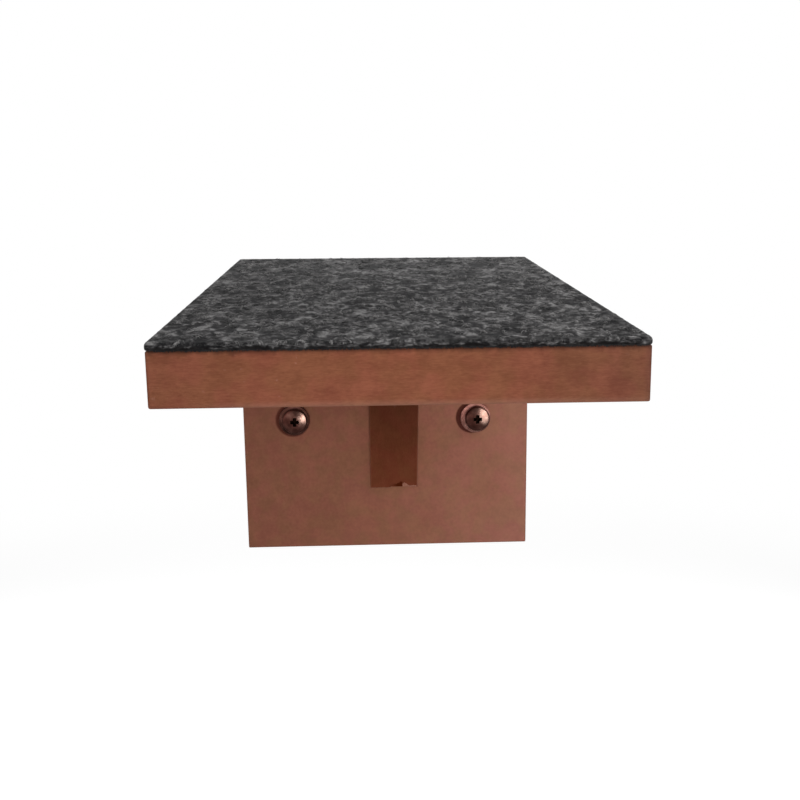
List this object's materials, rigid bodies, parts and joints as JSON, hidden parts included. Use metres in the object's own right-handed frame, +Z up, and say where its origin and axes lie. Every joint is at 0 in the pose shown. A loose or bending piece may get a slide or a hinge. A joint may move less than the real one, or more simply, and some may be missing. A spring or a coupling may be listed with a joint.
{
  "type": "cat wall step",
  "caption": "Wall-mounted cat step: felt-topped wooden tread board on an upright wall plate with a triangular brace and domed screws.",
  "frame": {"origin": "on the wall, in the plane of the wall plate's back face, midway between the two wall screws", "axes": "+Z up, +Y into the wall, so the step stands out along -Y, and +X to the right of someone facing the wall"},
  "size_m": [0.15, 0.341, 0.153],
  "materials": {
    "stained_wood": "smooth reddish brown stain under a thin satin varnish",
    "charcoal_felt": "mottled charcoal needle felt with lighter fibres",
    "copper_plate": "polished dark copper plating on steel",
    "zinc_steel": "yellow-passivated zinc on steel"
  },
  "bodies": {
    "root": {"tread_board": "stained_wood", "felt_cover": "charcoal_felt", "wall_plate": "stained_wood", "support_brace": "stained_wood", "plate_screw_left": "zinc_steel", "plate_screw_middle": "zinc_steel", "plate_screw_right": "zinc_steel", "brace_screw_front": "zinc_steel", "brace_screw_rear": "zinc_steel", "brace_screw_back": "zinc_steel", "wall_screw_left": "copper_plate", "wall_screw_right": "copper_plate", "washer_left": "copper_plate", "washer_right": "copper_plate"}
  },
  "joints": []
}
